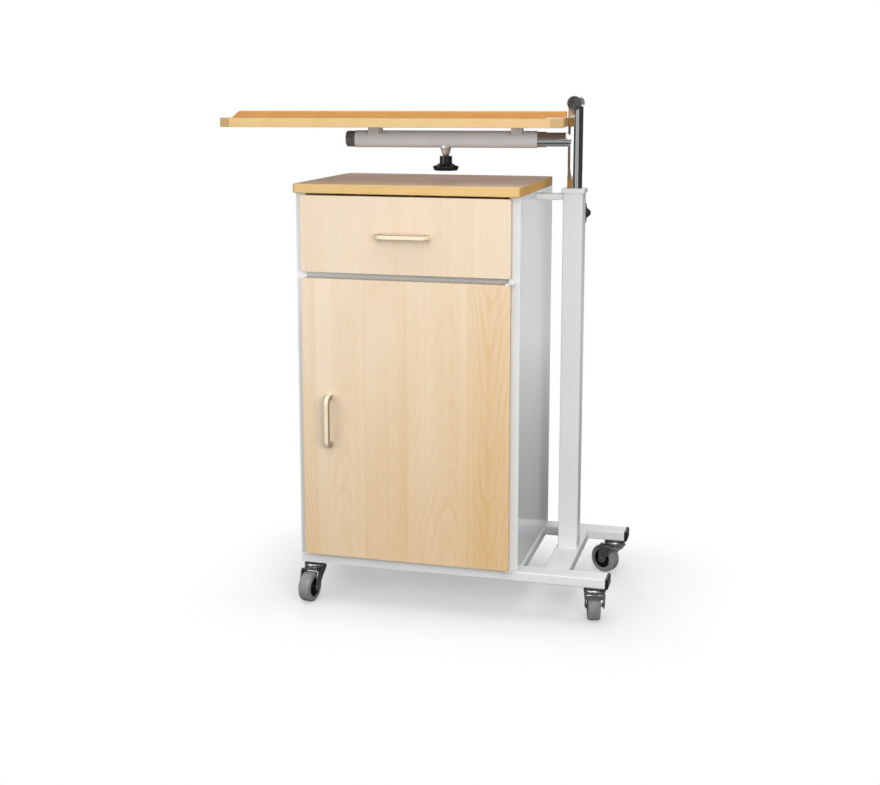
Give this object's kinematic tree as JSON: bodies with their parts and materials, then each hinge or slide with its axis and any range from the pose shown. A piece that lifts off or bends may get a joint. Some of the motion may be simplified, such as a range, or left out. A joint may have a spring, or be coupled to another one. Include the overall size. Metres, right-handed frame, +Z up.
{
  "type": "bedside cabinet",
  "caption": "Bedside cabinet on swivel castors with drawer, hinged door and a height-adjustable swivelling over-bed table on a side column",
  "frame": {"origin": "on the floor under the middle of the overall box at rest", "axes": "+X towards the column side, -Y is the front with drawer and door, +Z up"},
  "size_m": [0.804, 0.4448, 1.021],
  "materials": {
    "white_metal": "white powder-coated steel tube, semi-gloss",
    "white_panel": "white gloss faced chipboard",
    "maple_board": "light maple decor laminate with long cathedral grain, satin",
    "ledge_wood": "orange-brown edged strip, satin",
    "drawer_board": "pale chipboard of the drawer box",
    "chrome_tube": "bright chromed steel tube",
    "zinc_fork": "bright zinc-plated pressed steel",
    "runner_steel": "bright galvanised steel",
    "grey_sleeve": "grey coated tube, semi-gloss",
    "pale_plastic": "pale grey moulded plastic",
    "black_plastic": "black moulded plastic",
    "cream_plastic": "cream moulded plastic, semi-gloss",
    "grey_tyre": "grey non-marking rubber",
    "wheel_hub": "dark moulded plastic"
  },
  "bodies": {
    "cabinet": {"front_rail": "white_metal", "rear_rail": "white_metal", "column_crossbar": "white_metal", "side_crossbar": "white_metal", "rail_end_caps": "black_plastic", "castor_heads": "zinc_fork", "side_panel_left": "white_panel", "side_panel_right": "white_panel", "bottom_panel": "white_panel", "back_panel": "white_panel", "divider_panel": "white_panel", "top_board": "maple_board", "runner_fixed_left": "runner_steel", "runner_fixed_right": "runner_steel", "door_pivot_upper": "white_metal", "door_pivot_lower": "white_metal", "column": "white_metal", "column_collar": "white_metal", "column_stay": "white_metal", "clamp_boss": "white_metal"},
    "drawer": {"drawer_front": "maple_board", "drawer_side_left": "drawer_board", "drawer_side_right": "drawer_board", "drawer_back": "drawer_board", "drawer_bottom": "drawer_board", "drawer_handle": "cream_plastic", "runner_moving_left": "runner_steel", "runner_moving_right": "runner_steel"},
    "door": {"door_panel": "maple_board", "door_handle": "cream_plastic"},
    "lift_block": {"post_glide": "black_plastic"},
    "post": {"post_tube": "chrome_tube", "post_tee": "chrome_tube", "tee_plugs": "black_plastic", "arm_tube": "chrome_tube", "arm_ferrule": "chrome_tube", "arm_plug": "black_plastic"},
    "tray": {"tray_sleeve": "grey_sleeve", "tray_saddles": "pale_plastic", "tray_board": "maple_board", "tray_ledge": "ledge_wood", "tray_rear_ledge": "ledge_wood", "knob_cone": "chrome_tube"},
    "tray_clamp": {"tray_knob": "black_plastic", "tray_knob_stud": "runner_steel"},
    "column_clamp": {"column_knob": "black_plastic", "column_knob_stud": "runner_steel"},
    "castor_fl": {"castor_fork_fl": "zinc_fork"},
    "wheel_fl": {"castor_tyre_fl": "grey_tyre", "castor_hub_fl": "wheel_hub"},
    "castor_fr": {"castor_fork_fr": "zinc_fork"},
    "wheel_fr": {"castor_tyre_fr": "grey_tyre", "castor_hub_fr": "wheel_hub"},
    "castor_rl": {"castor_fork_rl": "zinc_fork"},
    "wheel_rl": {"castor_tyre_rl": "grey_tyre", "castor_hub_rl": "wheel_hub"},
    "castor_rr": {"castor_fork_rr": "zinc_fork"},
    "wheel_rr": {"castor_tyre_rr": "grey_tyre", "castor_hub_rr": "wheel_hub"}
  },
  "joints": [
    {"name": "drawer_slide", "type": "slide", "parent": "cabinet", "child": "drawer", "axis": [0, -1, 0], "range_m": [0, 0.25]},
    {"name": "door_hinge", "type": "hinge", "parent": "cabinet", "child": "door", "pos_m": [0.19904, -0.14336, 0.387], "axis": [0, 0, 1], "range_deg": [0, 95]},
    {"name": "post_lift", "type": "slide", "parent": "cabinet", "child": "lift_block", "axis": [0, 0, 1], "range_m": [0, 0.25]},
    {"name": "post_swivel", "type": "hinge", "parent": "lift_block", "child": "post", "pos_m": [0.29154, 0.04604, 0.831], "axis": [0, 0, 1], "continuous": true},
    {"name": "tray_tilt", "type": "hinge", "parent": "post", "child": "tray", "pos_m": [0.03669, 0.01023, 0.9355], "axis": [0.9903, 0.1392, 0], "range_deg": [-30, 30]},
    {"name": "tray_clamp_turn", "type": "hinge", "parent": "tray", "child": "tray_clamp", "pos_m": [0.03682, 0.00936, 0.88551], "axis": [-0.0024, 0.0173, 0.9998], "range_deg": [-180, 180]},
    {"name": "column_clamp_turn", "type": "hinge", "parent": "cabinet", "child": "column_clamp", "pos_m": [0.29154, 0.08604, 0.787], "axis": [0, 1, 0], "range_deg": [-180, 180]},
    {"name": "castor_swivel_fl", "type": "hinge", "parent": "cabinet", "child": "castor_fl", "pos_m": [-0.20796, -0.11396, 0.07], "axis": [0, 0, 1], "continuous": true},
    {"name": "wheel_spin_fl", "type": "hinge", "parent": "castor_fl", "child": "wheel_fl", "pos_m": [-0.21144, -0.13871, 0.03], "axis": [0.9903, -0.1392, 0], "continuous": true},
    {"name": "castor_swivel_fr", "type": "hinge", "parent": "cabinet", "child": "castor_fr", "pos_m": [0.37004, -0.11396, 0.07], "axis": [0, 0, 1], "continuous": true},
    {"name": "wheel_spin_fr", "type": "hinge", "parent": "castor_fr", "child": "wheel_fr", "pos_m": [0.36484, -0.0895, 0.03], "axis": [-0.9781, -0.2079, 0], "continuous": true},
    {"name": "castor_swivel_rl", "type": "hinge", "parent": "cabinet", "child": "castor_rl", "pos_m": [-0.20796, 0.17604, 0.07], "axis": [0, 0, 1], "continuous": true},
    {"name": "wheel_spin_rl", "type": "hinge", "parent": "castor_rl", "child": "wheel_rl", "pos_m": [-0.23145, 0.1846, 0.03], "axis": [-0.342, -0.9397, 0], "continuous": true},
    {"name": "castor_swivel_rr", "type": "hinge", "parent": "cabinet", "child": "castor_rr", "pos_m": [0.37004, 0.17604, 0.07], "axis": [0, 0, 1], "continuous": true},
    {"name": "wheel_spin_rr", "type": "hinge", "parent": "castor_rr", "child": "wheel_rr", "pos_m": [0.34839, 0.18854, 0.03], "axis": [-0.5, -0.866, 0], "continuous": true}
  ]
}
